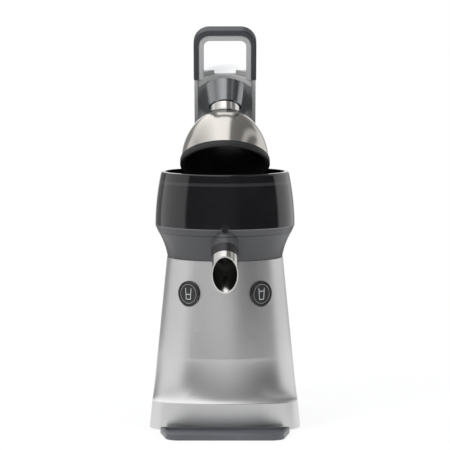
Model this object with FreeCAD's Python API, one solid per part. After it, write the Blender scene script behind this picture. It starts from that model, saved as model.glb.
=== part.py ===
# Lever-operated citrus press: a motor turns a ribbed reamer, a hinged arm presses a bell down on the fruit.
# Millimetres, +Z up, +Y to the rear. The origin is on the table, on the spindle axis.
import FreeCAD, Part
import math
import os

V = FreeCAD.Vector
X_AXIS = V(1, 0, 0)
Z_AXIS = V(0, 0, 1)

# Clearances
seat_gap = 0.3          # loose seat between a piece and the piece that locates it
run_fit = 0.05          # radial clearance of a shaft in its bearing
swing_gap = 0.6         # side clearance of the arm on its hinge
hole_gap = 0.2          # radial clearance of a screw in its hole
past = 200.0            # longer than any one piece, for cuts that go right through

# Body shell
shell_bottom_z = 2.0
plinth_top_z = 33.0
body_top_z = 196.0
shell_wall = 2.5
bowl_foot_radius = 67.3
body_lip = 0.7          # how far the body's top stands out round the bowl's foot
top_half_width = bowl_foot_radius + body_lip
side_taper = 0.1        # growth of the half width for each millimetre down
front_lean = 6.0        # how far the front comes forward between the top and the flare
top_front = bowl_foot_radius + body_lip     # distance of the front from the spindle axis at the top
low_front = top_front + front_lean          # the same just above the flare
flare_top_z = 84.0
flare_steps = 20
flare_out = 6.0         # how far the foot of the front flares forward
ledge_step = 1.5
top_rear = 126.0
low_rear = 131.7
front_flatness = 3.0     # how far the round front's middle and sides leave a true circle
low_front_radius = 240.0
low_corner_radius = 28.0
rear_corner_radius = 36.0

# Base
base_thick = 4.0
foot_radius = 9.0
foot_x = 60.0
foot_front_y = -48.0
foot_rear_y = 105.0
post_radius = 5.0
post_x = 50.0
post_front_y = -16.0
post_rear_y = 92.0
screw_radius = 2.0
screw_head_radius = 3.6
screw_head_height = 2.2
screw_thread = 11.0

# Drip tray
tray_front = 131.7
tray_rear_half = 74.0
tray_front_half = 65.0
tray_height = 7.0
tray_bottom_z = 0.6
tray_corner_radius = 16.0
tray_rim = 4.0
tray_recess = 3.0
tray_tab_width = 14.0
tray_tab_thick = 2.6
tray_tab_reach = 12.0
tray_tab_x = 44.0
tray_edge_round = 1.5

# Drive
plate_z = body_top_z - 50.0
plate_thick = 4.0
spindle_radius = 4.0
spindle_top_z = body_top_z + 74.0
bearing_radius = 11.0
bearing_width = 7.0
bearing_wall = 4.0
gear_module = 1.0
gear_teeth = 72
pinion_teeth = 12
gear_width = 8.0
gear_plate_gap = 6.0
tooth_backlash = 0.36
motor_radius = 26.0
motor_wall = 2.0
motor_length = 84.0
motor_shaft_radius = 3.0
stator_thick = 6.0
rotor_air_gap = 0.6

# Bowl and splash cover
deck_thick = 4.0
bowl_neck_z = body_top_z + 30.0
bowl_neck_radius = 78.5
bowl_waist_sink = 1.6     # hollow of the lower wall between foot and neck
bowl_flange_z = body_top_z + 38.0
bowl_flange_radius = 82.0
bowl_wall = 3.0
bowl_floor = 8.0
chimney_radius = 12.0
chimney_bore = 8.0
chimney_top_z = body_top_z + 36.0
strainer_z = body_top_z + 33.0
strainer_thick = 1.5
strainer_slots = 24
strainer_slot_width = 3.0
strainer_shelf = 4.0
strainer_seat_radius = 75.0
cover_top_z = body_top_z + 100.0
cover_top_radius = 75.3
cover_bulge = 1.4         # outward bow of the cover's wall
cover_wall = 3.0
cover_lip = 5.5
cover_tab_width = 6.5
cover_tab_height = 10.0
cover_tab_proud = 1.6
cover_tab_low_z = body_top_z + 35.5
gasket_height = 2.0

# Reamer
reamer_base_z = body_top_z + 42.0
reamer_tip_z = body_top_z + 90.0
reamer_base_radius = 38.0
reamer_skirt_radius = 44.0
reamer_skirt_thick = 3.0
reamer_ribs = 10
rib_thick = 3.0
rib_proud = 2.0
reamer_wall = 4.0
drive_pin_radius = 1.5
drive_pin_z = body_top_z + 57.0
drive_pin_half = 9.0

# Spout
spout_fall = 45.0         # degrees below the horizontal
spout_proud = 37.7        # from the bowl's foot forward to the centre of the cut end
spout_end_y = -bowl_foot_radius - spout_proud
spout_end_z = body_top_z - 11.0
spout_radius = 15.0
spout_wall = 1.1
spout_collar_radius = 15.6
spout_collar_length = 12.4
spout_collar_back = 22.6  # from the cut end's centre back up the tube to the collar's front face
spout_boss_reach = 70.0   # how far up the tube's line the bowl's boss runs into the wall
spout_socket = 40.0       # from the cut end's centre back up the tube to its upper end
passage_radius = 6.0      # level hole from the bowl into the tube
passage_drop = 1.0        # how far the passage's lowest line is above the bowl's floor

# Push buttons
button_z = body_top_z - 38.0
button_turn = 36.0        # degrees round from the front
bezel_radius = 14.8
bezel_bore = 11.9
bezel_flange = 1.6
bezel_proud = 1.4
bezel_sleeve_radius = 13.0
bezel_depth = 16.0
bezel_floor = 2.0
cap_gap = 0.3
cap_thick = 5.0
cap_recess = 0.6
button_travel = 2.0
button_spring_radius = 6.0
button_spring_wire = 1.2
switch_side = 12.0
switch_depth = 6.0

# Rear column and hinge
hinge_y = 106.0
hinge_z = body_top_z + 97.0
column_half_depth = 18.0
column_wall = 4.0
column_corner = 8.0
column_top_z = body_top_z + 78.0
ear_radius = 13.0
ear_inner_half = 13.0
pin_radius = 5.0
bush_wall = 1.5
clip_thick = 1.5
clip_radius = 8.0
spring_turn_radius = 8.0
spring_wire_radius = 1.4
spring_half_length = 10.0
lever_stroke = 30.0       # degrees from rest to fully pressed
arm_lean = 22.0           # degrees forward of upright at rest

# Arm, loop handle and grip, as lengths along the arm from the hinge axis
arm_half_width = 36.5
arm_wall = 4.0
arm_front = 13.0          # front edges ahead of the hinge axis
gutter_edge = 9.0         # where the gutter's curve starts, ahead of the hinge axis
gutter_back = 6.0         # middle of the gutter, behind the hinge axis
arm_back = 20.0           # back of the arm, behind the hinge axis
back_cover_wall = 2.5
cheek_lap = 8.0           # length of the hinge cheeks alongside the channel
cover_edge = 1.2          # thickness of the back cover at its long edges
arm_start = 22.0
arm_end = 122.0
cheek_radius = 13.5
loop_side = 6.6
loop_top_bar = 7.4
loop_bottom_bar = 6.0
loop_front = 12.5
loop_back = 4.0
loop_edge_round = 1.5
loop_corner_radius = 14.0
grip_side = 5.4
grip_top = 6.0
grip_front = 13.5
grip_back = 3.5
grip_proud = 0.7
grip_top_end = 185.0
grip_corner_radius = 19.0
grip_edge_round = 2.4

# Bell, its stem and the carrier on the arm, as heights above the bell's rim
bell_rim_z = body_top_z + 54.0        # height of the rim when the arm is fully pressed
bell_radius = 51.0
bell_bow_radius = 47.0    # radius of the bell half way up its curved side
bell_bow_height = 24.0
bell_top_radius = 18.5
bell_height = 60.4
bell_wall = 1.2
bow_share = 0.86          # how much of a wall's thickness is taken off the radius on the curved side
bell_roof = 2.2          # thickness of the flat top the collar stands on
liner_wall = 2.4
rim_ring_radius = 52.4
rim_ring_inner = 46.0
rim_ring_height = 7.0
neck_radius = 17.0
neck_start = bell_height
neck_end = 76.0
stem_radius = 6.0
boss_low = 71.0
boss_high = 97.0
boss_low_radius = 19.2
boss_high_radius = 23.3
boss_skirt_depth = 6.0
boss_skirt_wall = 1.4
web_half_width = 17.0
web_low = 62.0
web_high = 110.0
web_front = -33.0
web_rise = 6.0
web_depth = 16.0
nut_radius = 10.0
nut_height = 6.0

# Mains inlet
inlet_z = 36.0
inlet_width = 27.0
inlet_height = 20.0
inlet_depth = 24.0
inlet_wall = 2.0
inlet_flange = 6.0
inlet_flange_thick = 3.0
inlet_pin_width = 4.0
inlet_pin_thick = 2.0
inlet_pin_length = 14.0

# Control board
board_width = 80.0
board_depth = 44.0
board_thick = 1.6
board_z = 18.0
board_y = -18.0
relay_height = 16.0
relay_side = 18.0


def box(x0, x1, y0, y1, z0, z1):
    return Part.makeBox(x1 - x0, y1 - y0, z1 - z0, V(x0, y0, z0))


def rod(radius, start, end):
    """A cylinder between two points."""
    return Part.makeCylinder(radius, (end - start).Length, start, end - start)


def upright(radius, z0, z1, x=0.0, y=0.0):
    return rod(radius, V(x, y, z0), V(x, y, z1))


def ring(outer, inner, z0, z1, x=0.0, y=0.0):
    return upright(outer, z0, z1, x, y).cut(upright(inner, z0 - 1, z1 + 1, x, y))


def path(points):
    """A closed wire: each entry is a corner, or a (middle, end) pair for an arc."""
    edges = []
    here = points[0]
    for entry in points[1:] + [points[0]]:
        if isinstance(entry, tuple):
            edges.append(Part.Arc(here, entry[0], entry[1]).toShape())
            here = entry[1]
        elif (entry - here).Length > 1e-7:
            edges.append(Part.LineSegment(here, entry).toShape())
            here = entry
    return Part.Wire(edges)


def turned(points):
    """A solid of revolution about Z from (radius, height) entries, with arcs as in path."""
    def flat(p):
        return V(p[0], 0, p[1])
    entries = [tuple(flat(q) for q in p) if isinstance(p[0], tuple) else flat(p) for p in points]
    return Part.Face(path(entries)).revolve(V(0, 0, 0), Z_AXIS, 360)


def prism_x(half_low, half_high, points):
    """A solid between two X positions from (y, z) entries, with arcs as in path."""
    def flat(p):
        return V(half_low, p[0], p[1])
    entries = [tuple(flat(q) for q in p) if isinstance(p[0], tuple) else flat(p) for p in points]
    return Part.Face(path(entries)).extrude(V(half_high - half_low, 0, 0))


def fused(shapes):
    return shapes[0].multiFuse(shapes[1:]).removeSplitter()


def mirrored_x(shape):
    return shape.mirror(V(0, 0, 0), X_AXIS)


def save(name, *shapes):
    """One file for one node. Several shapes make a group of separate solids."""
    shape = shapes[0] if len(shapes) == 1 else Part.makeCompound(list(shapes))
    for solid in shape.Solids:
        if not solid.isValid():
            raise ValueError(name + " is not a valid solid")
    if not shape.Solids:
        raise ValueError(name + " has no solid")
    if len(shapes) == 1 and len(shape.Solids) == 1:
        shape = shape.Solids[0]
    shape.exportStep("parts/" + name + ".step")
    print(name, len(shape.Solids), round(shape.Volume))


# The shell's outline at any height

def half_width_at(z):
    return top_half_width + side_taper * (body_top_z - z)


def flare_share(z):
    """0 above the flare, growing along a quarter ellipse to 1 at the ledge."""
    sink = min(1.0, max(0.0, (flare_top_z - z) / (flare_top_z - plinth_top_z)))
    return 1 - math.sqrt(1 - sink * sink)


def front_at(z):
    fall = (body_top_z - z) / (body_top_z - flare_top_z)
    return top_front + (low_front - top_front) * min(fall, 1.0) + flare_out * flare_share(z)


def rear_at(z):
    return top_rear + (low_rear - top_rear) * (body_top_z - z) / (body_top_z - shell_bottom_z)


def outline(z, inset=0.0, front=None, at_z=None):
    """The shell's plan at height z, moved in by inset: a front arc, two corner arcs, sides, rear corners, back."""
    level = z if at_z is None else at_z
    square = flare_share(z)
    half = half_width_at(z)
    reach = front_at(z) if front is None else front
    bow = half + front_flatness + (low_front_radius - half - front_flatness) * square
    corner = half - front_flatness + (low_corner_radius + front_flatness - half) * square
    rear = rear_at(z)
    bow_y = bow - reach
    corner_x = half - corner
    corner_y = bow_y - math.sqrt((bow - corner) ** 2 - corner_x ** 2)
    bend = math.atan2(corner_x, bow_y - corner_y)
    join_x = (bow - inset) * math.sin(bend)
    join_y = bow_y - (bow - inset) * math.cos(bend)
    mid = (bend + math.pi / 2) / 2
    mid_x = corner_x + (corner - inset) * math.sin(mid)
    mid_y = corner_y - (corner - inset) * math.cos(mid)
    side = half - inset
    back = rear - inset
    turn = rear_corner_radius - inset
    cut = turn * (1 - math.sqrt(0.5))

    def at(x, y):
        return V(x, y, level)
    return path([
        at(-join_x, join_y), (at(0, inset - reach), at(join_x, join_y)),
        (at(mid_x, mid_y), at(side, corner_y)), at(side, back - turn),
        (at(side - cut, back - cut), at(side - turn, back)), at(turn - side, back),
        (at(cut - side, back - cut), at(-side, back - turn)), at(-side, corner_y),
        (at(-mid_x, mid_y), at(-join_x, join_y))])


plinth_front = low_front + flare_out + ledge_step


def cone_body(inset, drop):
    """The straight upper part of the shell's form, moved in by inset and down by drop."""
    wires = [outline(z, inset, None, z - drop) for z in (body_top_z, flare_top_z)]
    return Part.makeLoft(wires, True, True)


def flare_body(inset, drop):
    """The curved foot of the shell's form, from the straight part down to the ledge."""
    depth = flare_top_z - plinth_top_z
    heights = [flare_top_z - depth * math.sin(math.pi / 2 * i / flare_steps) for i in range(flare_steps + 1)]
    return Part.makeLoft([outline(z, inset, None, z - drop) for z in heights], True, True)


def plinth_body(inset, low_z, high_z):
    return Part.makeLoft([outline(z, inset, plinth_front) for z in (high_z, low_z)], True, True)


def button_frame(side):
    """Centre on the shell's face and outward direction of a button, side being -1 or 1."""
    turn = math.radians(button_turn)
    outward = V(side * math.sin(turn), -math.cos(turn), 0)
    reach = Part.makeLine(V(0, 0, button_z), V(0, 0, button_z) + outward * (2 * top_half_width))
    wall = upper_skin.common(reach)
    far = max(wall.Vertexes, key=lambda v: v.Point.Length).Point
    return far, outward


def spout_line():
    """Centre of the spout's cut end and the direction up the tube."""
    fall = math.radians(spout_fall)
    return V(0, spout_end_y, spout_end_z), V(0, math.cos(fall), math.sin(fall))


# Body and base

def body_shell():
    shell = upper_skin.fuse(flare_body(0, 0)).fuse(plinth_body(0, shell_bottom_z, plinth_top_z))
    mouth = Part.Face(outline(body_top_z, shell_wall, None,
                              body_top_z - shell_wall)).extrude(V(0, 0, 2 * shell_wall))
    foot = plinth_body(shell_wall, 0, plinth_top_z - shell_wall)
    for space in (cone_body(shell_wall, shell_wall), flare_body(shell_wall, shell_wall), mouth, foot):
        shell = shell.cut(space)
    for side in (-1, 1):
        centre, outward = button_frame(side)
        shell = shell.cut(rod(bezel_sleeve_radius + seat_gap, centre - outward * bezel_depth, centre))
        seat = centre + outward * (bezel_proud - bezel_flange)
        shell = shell.cut(rod(bezel_radius + seat_gap, seat, centre + outward * bezel_depth))
    half_slot = tray_tab_width / 2 + seat_gap
    for side in (-1, 1):
        x = side * tray_tab_x
        low = tray_tab_z() - seat_gap
        slot_rear = tray_tab_reach - plinth_front
        shell = shell.cut(box(x - half_slot, x + half_slot, -tray_front, slot_rear, low,
                              low + tray_tab_thick + 2 * seat_gap))
    half_w = inlet_width / 2 + seat_gap
    half_h = inlet_height / 2 + seat_gap
    return shell.cut(box(-half_w, half_w, low_rear - 12, low_rear + 5, inlet_z - half_h, inlet_z + half_h))


def foot_places():
    return [(side * foot_x, y) for y in (foot_front_y, foot_rear_y) for side in (-1, 1)]


def post_places():
    return [(side * post_x, y) for y in (post_front_y, post_rear_y) for side in (-1, 1)]


base_top_z = shell_bottom_z + base_thick


def base_plate():
    plate = Part.Face(outline(base_top_z, shell_wall + seat_gap, plinth_front,
                              shell_bottom_z)).extrude(V(0, 0, base_thick))
    notch_half = tray_tab_width / 2 + 2 * seat_gap
    for side in (-1, 1):
        x = side * tray_tab_x
        plate = plate.cut(box(x - notch_half, x + notch_half, -tray_front,
                              tray_tab_reach + 2 * seat_gap - plinth_front, 0, body_top_z))
    pillars = [upright(post_radius, base_top_z, board_z, side * (board_width / 2 - post_radius), board_y)
               for side in (-1, 1)]
    plate = fused([plate] + pillars)
    for x, y in post_places():
        plate = plate.cut(upright(screw_radius + hole_gap, 0, base_top_z + 1, x, y))
        plate = plate.cut(upright(screw_head_radius + hole_gap, 0, shell_bottom_z + screw_head_height, x, y))
    return plate


def screw(x, y, head_z, length, up=1):
    """A pan-head screw whose head's outer face is at head_z, going up or down from it."""
    neck = head_z + up * screw_head_height
    head = rod(screw_head_radius, V(x, y, head_z), V(x, y, neck))
    return head.fuse(rod(screw_radius, V(x, y, neck), V(x, y, neck + up * length)))


def drive_posts():
    posts = []
    for x, y in post_places():
        post = upright(post_radius, base_top_z, plate_z, x, y)
        post = post.cut(upright(screw_radius, base_top_z, base_top_z + screw_thread + 1, x, y))
        posts.append(post.cut(upright(screw_radius, plate_z - screw_thread - 1, plate_z, x, y)))
    return posts


def tray_tab_z():
    return tray_bottom_z + (tray_height - tray_tab_thick) / 2


def tray_plan(inset, z, rear):
    half_rear = tray_rear_half - inset
    half_front = tray_front_half - inset
    front = inset - tray_front
    return path([V(-half_rear, rear, z), V(-half_front, front, z), V(half_front, front, z),
                 V(half_rear, rear, z)])


def drip_tray():
    rear = -plinth_front - seat_gap
    tray = Part.Face(tray_plan(0, tray_bottom_z, rear)).extrude(V(0, 0, tray_height))
    corners = [e for e in tray.Edges if abs(e.tangentAt(e.FirstParameter).z) > 0.99
               and e.CenterOfMass.y < rear - 5]
    tray = tray.makeFillet(tray_corner_radius, corners)
    top_z = tray_bottom_z + tray_height
    rim = [e for e in tray.Edges if e.BoundBox.ZMin > top_z - 0.01 and e.CenterOfMass.y < rear - 1]
    tray = tray.makeFillet(tray_edge_round, rim)
    well = Part.Face(tray_plan(tray_rim, top_z - tray_recess, rear - tray_rim)).extrude(V(0, 0, tray_height))
    corners = [e for e in well.Edges if abs(e.tangentAt(e.FirstParameter).z) > 0.99
               and e.CenterOfMass.y < rear - 8]
    tray = tray.cut(well.makeFillet(tray_corner_radius - tray_rim, corners))
    half = tray_tab_width / 2
    tabs = []
    for side in (-1, 1):
        x = side * tray_tab_x
        tabs.append(box(x - half, x + half, rear - tray_rim, tray_tab_reach - plinth_front,
                        tray_tab_z(), tray_tab_z() + tray_tab_thick))
    return fused([tray] + tabs)


# Drive train

motor_y = gear_module * (gear_teeth + pinion_teeth) / 2
gear_z = plate_z + plate_thick + gear_plate_gap


def drive_plate():
    margin = post_radius + 3
    plate = box(-post_x - margin, post_x + margin, post_front_y - margin, post_rear_y + margin,
                plate_z, plate_z + plate_thick)
    corners = [e for e in plate.Edges if abs(e.tangentAt(e.FirstParameter).z) > 0.99]
    plate = plate.makeFillet(margin, corners)
    boss_low_z = plate_z + plate_thick - bearing_width - bearing_wall
    plate = plate.fuse(upright(bearing_radius + bearing_wall, boss_low_z, plate_z))
    plate = plate.cut(upright(bearing_radius, boss_low_z + bearing_wall, plate_z + plate_thick + 1))
    plate = plate.cut(upright(spindle_radius + 2, boss_low_z - 1, plate_z))
    plate = plate.cut(upright(motor_shaft_radius + 5, plate_z - 1, plate_z + plate_thick + 1, 0, motor_y))
    for x, y in post_places():
        plate = plate.cut(upright(screw_radius + hole_gap, plate_z - 1, plate_z + plate_thick + 1, x, y))
    return plate.removeSplitter()


def gear_blank(teeth, turn, x, y, z0, z1):
    """A spur gear with straight-sided teeth. turn, in radians, is where the middle of a tooth stands."""
    pitch_radius = gear_module * teeth / 2
    tip = pitch_radius + 0.85 * gear_module
    root = pitch_radius - 1.15 * gear_module
    half_pitch = (math.pi * gear_module - tooth_backlash) / 4 / pitch_radius
    lean = math.tan(math.radians(20)) * gear_module
    half_tip = half_pitch - 0.85 * lean / pitch_radius
    half_root = half_pitch + 1.15 * lean / pitch_radius
    points = []
    for i in range(teeth):
        middle = turn + 2 * math.pi * i / teeth
        for offset, radius in ((-half_root, root), (-half_tip, tip), (half_tip, tip), (half_root, root)):
            points.append(V(x + radius * math.cos(middle + offset),
                            y + radius * math.sin(middle + offset), z0))
    return Part.Face(path(points)).extrude(V(0, 0, z1 - z0))


def drive_gear():
    gear = gear_blank(gear_teeth, math.pi / 2, 0, 0, gear_z, gear_z + gear_width)
    hub = upright(spindle_radius + 6, plate_z + plate_thick + seat_gap, gear_z)
    return gear.fuse(hub).cut(upright(spindle_radius, 0, body_top_z)).removeSplitter()


def motor_pinion():
    tooth_space = -math.pi / 2 + math.pi / pinion_teeth
    pinion = gear_blank(pinion_teeth, tooth_space, 0, motor_y, gear_z - 1, gear_z + gear_width + 1)
    return pinion.cut(upright(motor_shaft_radius, 0, body_top_z, 0, motor_y))


def drive_spindle():
    low_z = plate_z + plate_thick - bearing_width
    spindle = upright(spindle_radius, low_z, spindle_top_z)
    across = rod(drive_pin_radius, V(-drive_pin_half, 0, drive_pin_z), V(drive_pin_half, 0, drive_pin_z))
    return spindle.cut(across)


def drive_pin():
    return rod(drive_pin_radius, V(-drive_pin_half, 0, drive_pin_z), V(drive_pin_half, 0, drive_pin_z))


def motor_can():
    low = plate_z - motor_length
    can = upright(motor_radius, low, plate_z, 0, motor_y)
    can = can.cut(upright(motor_radius - motor_wall, low + motor_wall, plate_z - motor_wall, 0, motor_y))
    return can.cut(upright(motor_shaft_radius + run_fit, low - 1, plate_z + 1, 0, motor_y))


stator_outer = motor_radius - motor_wall
stator_inner = stator_outer - stator_thick
rotor_radius = stator_inner - rotor_air_gap
core_low_z = plate_z - motor_length * 0.8
core_high_z = plate_z - motor_length * 0.2


def motor_stator():
    return ring(stator_outer, stator_inner, core_low_z, core_high_z, 0, motor_y)


def motor_rotor():
    core = upright(rotor_radius, core_low_z, core_high_z, 0, motor_y)
    shaft = upright(motor_shaft_radius, plate_z - motor_length + motor_wall / 2, gear_z + gear_width + 1, 0,
                    motor_y)
    return core.fuse(shaft)


# Deck, bowl, strainer, cover and spout

deck_low_z = body_top_z - deck_thick
bowl_floor_z = body_top_z + bowl_floor


def deck_screw_places():
    reach = bowl_foot_radius + 14
    return [(side * 42, y) for y in (reach - 2, top_rear - 14) for side in (-1, 1)]


def top_deck():
    deck = Part.Face(outline(body_top_z, shell_wall + seat_gap, None,
                             deck_low_z)).extrude(V(0, 0, deck_thick))
    deck = deck.fuse(upright(bearing_radius + bearing_wall, body_top_z - bearing_width - bearing_wall,
                             deck_low_z))
    deck = deck.cut(upright(bearing_radius, body_top_z - bearing_width, body_top_z + 1))
    deck = deck.cut(upright(spindle_radius + 2, 0, body_top_z))
    for x, y in column_screw_places():
        deck = deck.cut(upright(screw_radius + hole_gap, 0, body_top_z + 1, x, y))
    return deck.removeSplitter()


def bowl_core():
    """The space inside the bowl's wall, stepped out to the strainer's seat."""
    foot = bowl_foot_radius - bowl_wall
    neck = bowl_neck_radius - bowl_wall - strainer_shelf
    waist = ((foot + neck) / 2 - bowl_waist_sink, (bowl_floor_z + bowl_neck_z) / 2)
    return turned([(0, bowl_floor_z), (foot, bowl_floor_z), (waist, (neck, bowl_neck_z)), (neck, strainer_z),
                   (strainer_seat_radius, strainer_z), (strainer_seat_radius, bowl_flange_z), (0, bowl_flange_z)])


def bowl_base():
    waist = ((bowl_foot_radius + bowl_neck_radius) / 2 - bowl_waist_sink, (body_top_z + bowl_neck_z) / 2)
    bowl = turned([(0, body_top_z), (bowl_foot_radius, body_top_z), (waist, (bowl_neck_radius, bowl_neck_z)),
                   (bowl_flange_radius, bowl_flange_z), (0, bowl_flange_z)])
    end, up = spout_line()
    boss = rod(spout_collar_radius, end + up * (spout_collar_back + spout_collar_length),
               end + up * spout_boss_reach)
    above = box(-bowl_flange_radius, bowl_flange_radius, 2 * spout_end_y, 0, bowl_flange_z, 2 * bowl_flange_z)
    bowl = bowl.fuse(boss.cut(above)).cut(bowl_core())
    bowl = bowl.cut(upright(bowl_foot_radius - bowl_wall, 0, bowl_floor_z))
    bowl = bowl.cut(rod(spout_radius, end, end + up * spout_socket))
    passage_z = bowl_floor_z + passage_drop + passage_radius
    passage = rod(passage_radius, V(0, -bowl_neck_radius, passage_z), V(0, -bowl_foot_radius / 2, passage_z))
    return bowl.cut(passage).removeSplitter()


def bowl_gasket():
    outer = strainer_seat_radius - seat_gap
    return ring(outer, outer - bowl_wall, strainer_z + strainer_thick,
                strainer_z + strainer_thick + gasket_height)


def strainer():
    outer = strainer_seat_radius - seat_gap
    inner = chimney_radius + seat_gap
    plate = ring(outer, inner, strainer_z, strainer_z + strainer_thick)
    slot_in = inner + 8
    slot_out = outer - strainer_shelf - 10
    half = strainer_slot_width / 2
    slots = []
    for i in range(strainer_slots):
        slot = box(slot_in, slot_out, -half, half, strainer_z - 1, strainer_z + strainer_thick + 1)
        slot.rotate(V(0, 0, 0), Z_AXIS, 360.0 * i / strainer_slots)
        slots.append(slot)
    return plate.cut(Part.makeCompound(slots))


def bowl_cover():
    bow = ((bowl_flange_radius + cover_top_radius) / 2 + cover_bulge, (bowl_flange_z + cover_top_z) / 2)
    round_over = 2.0
    shoulder = (cover_top_radius - round_over * 0.3, cover_top_z - round_over * 0.3)
    inner_bow = (bow[0] - cover_wall, bow[1])
    lip_low = cover_top_z - cover_wall
    cover = turned([
        (bowl_flange_radius, bowl_flange_z), (bow, (cover_top_radius, cover_top_z - round_over)),
        (shoulder, (cover_top_radius - round_over, cover_top_z)), (cover_top_radius - cover_lip, cover_top_z),
        (cover_top_radius - cover_lip, lip_low), (cover_top_radius - cover_wall, lip_low),
        (inner_bow, (bowl_flange_radius - cover_wall, bowl_flange_z))])
    half = cover_tab_width / 2
    face = -bowl_flange_radius - cover_tab_proud
    tab_top = cover_tab_low_z + cover_tab_height
    tongue = box(-half, half, face, -bowl_flange_radius - seat_gap, cover_tab_low_z, tab_top)
    root = box(-half, half, face, cover_wall / 2 - bowl_flange_radius, bowl_flange_z + seat_gap, tab_top)
    return fused([cover, tongue, root])


def reamer():
    height = reamer_tip_z - reamer_base_z
    skirt_z = reamer_base_z + reamer_skirt_thick

    def dome(grow):
        shoulder = (reamer_base_radius * 0.74 + grow, reamer_base_z + height * 0.62)
        tip_radius = 2.0 + grow
        return turned([(0, reamer_base_z), (reamer_base_radius + grow, reamer_base_z),
                       (shoulder, (tip_radius, reamer_tip_z - 2 + grow)), (0, reamer_tip_z + grow)])
    body = dome(0.0)
    fin = box(0, reamer_base_radius * 2, -rib_thick / 2, rib_thick / 2, skirt_z, reamer_tip_z - 4)
    fins = []
    for i in range(reamer_ribs):
        blade = fin.copy()
        blade.rotate(V(0, 0, 0), Z_AXIS, 360.0 * i / reamer_ribs)
        fins.append(blade)
    ribs = dome(rib_proud).common(fins[0].multiFuse(fins[1:]))
    skirt = upright(reamer_skirt_radius, reamer_base_z, skirt_z)
    body = fused([body, ribs, skirt])
    hub_top = spindle_top_z + 2
    hollow_high = drive_pin_z - drive_pin_radius - 4
    hollow = turned([(0, reamer_base_z - 1), (reamer_base_radius - reamer_wall, reamer_base_z - 1),
                     (reamer_base_radius - reamer_wall - 4, hollow_high), (0, hollow_high)])
    hub = ring(spindle_radius + 4, spindle_radius, reamer_base_z, hollow_high)
    body = body.cut(hollow).fuse(hub)
    body = body.cut(upright(spindle_radius, 0, hub_top))
    return body.cut(drive_pin()).removeSplitter()


def spindle_seal():
    return ring(chimney_bore, spindle_radius + run_fit, chimney_top_z - 6, chimney_top_z - 1)


def spout_tube():
    end, up = spout_line()
    top = end + up * spout_socket
    tube = rod(spout_radius, end - up * spout_socket, top)
    tube = tube.cut(rod(spout_radius - spout_wall, end - up * (spout_socket + 1), top + up))
    half = 2 * spout_radius
    return tube.cut(box(-half, half, 3 * spout_end_y, spout_end_y, 0, bowl_flange_z))


def spout_collar():
    end, up = spout_line()
    start = end + up * spout_collar_back
    stop = start + up * spout_collar_length
    collar = rod(spout_collar_radius, start, stop)
    rims = [e for e in collar.Edges if e.Curve.TypeId == "Part::GeomCircle"
            and (e.Curve.Center - start).Length < 0.1]
    collar = collar.makeFillet(2.0, rims)
    return collar.cut(rod(spout_radius, start - up, stop + up))


# Push buttons

def button_bezel(side):
    centre, out = button_frame(side)
    face = centre + out * bezel_proud
    cup = rod(bezel_radius, face - out * bezel_flange, face)
    cup = cup.fuse(rod(bezel_sleeve_radius, face - out * bezel_depth, face))
    cup = cup.cut(rod(bezel_bore, face - out * (bezel_depth - bezel_floor), face + out)).removeSplitter()
    rims = [e for e in cup.Edges if e.Curve.TypeId == "Part::GeomCircle"
            and abs(e.Curve.Radius - bezel_radius) < 0.01]
    front = max(rims, key=lambda e: e.Curve.Center.dot(out))
    return cup.makeFillet(0.8, [front])


def button_cap(side):
    centre, out = button_frame(side)
    face = centre + out * (bezel_proud - cap_recess)
    cap = rod(bezel_bore - cap_gap, face - out * cap_thick, face)
    rims = [e for e in cap.Edges if e.Curve.TypeId == "Part::GeomCircle"
            and (e.Curve.Center - face).Length < 0.01]
    cap = cap.makeFillet(0.8, rims)
    stem_back = face - out * (bezel_depth - bezel_floor - button_travel - 2 * seat_gap)
    return cap.fuse(rod(button_spring_radius - button_spring_wire - seat_gap, stem_back,
                        face - out * cap_thick))


def button_spring(side):
    centre, out = button_frame(side)
    top = centre + out * (bezel_proud - cap_recess - cap_thick)
    floor = centre + out * (bezel_proud - bezel_depth + bezel_floor)
    coil = rod(button_spring_radius, floor, top)
    return coil.cut(rod(button_spring_radius - button_spring_wire, floor - out, top + out))


def button_switch(side):
    centre, out = button_frame(side)
    back = centre + out * (bezel_proud - bezel_depth)
    block = box(-switch_side / 2, switch_side / 2, -switch_side / 2, switch_side / 2, 0, switch_depth)
    block.Placement = FreeCAD.Placement(back, FreeCAD.Rotation(Z_AXIS, out * -1))
    return block


# Rear column and hinge

hinge = V(0, hinge_y, hinge_z)
ear_outer_half = arm_half_width - arm_wall - swing_gap


def column_screw_places():
    reach = column_half_depth - column_wall - 5
    return [(side * (ear_outer_half - column_wall - 5), hinge_y + across * reach)
            for across in (-1, 1) for side in (-1, 1)]


def rear_column():
    front = hinge_y - column_half_depth
    back = hinge_y + column_half_depth
    column = box(-ear_outer_half, ear_outer_half, front, back, body_top_z, column_top_z)
    corners = [e for e in column.Edges if abs(e.tangentAt(e.FirstParameter).z) > 0.99]
    column = column.makeFillet(column_corner, corners)
    inner = ear_outer_half - column_wall
    column = column.cut(box(-inner, inner, front + column_wall, back - column_wall,
                            body_top_z + column_wall, column_top_z - column_wall))
    ears = []
    for low, high in ((-ear_outer_half, -ear_inner_half), (ear_inner_half, ear_outer_half)):
        ear = prism_x(low, high, [
            (hinge_y - ear_radius, column_top_z - column_wall), (hinge_y - ear_radius, hinge_z),
            ((hinge_y, hinge_z + ear_radius), (hinge_y + ear_radius, hinge_z)),
            (hinge_y + ear_radius, column_top_z - column_wall)])
        ears.append(ear)
    column = fused([column] + ears)
    bore = pin_radius + bush_wall
    column = column.cut(rod(bore, V(-past, hinge_y, hinge_z), V(past, hinge_y, hinge_z)))
    for x, y in column_screw_places():
        column = column.cut(upright(screw_radius, body_top_z - 1, body_top_z + column_wall + 1, x, y))
    return column


def hinge_pin():
    half = arm_half_width + clip_thick + 2
    return rod(pin_radius, V(-half, hinge_y, hinge_z), V(half, hinge_y, hinge_z))


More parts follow.
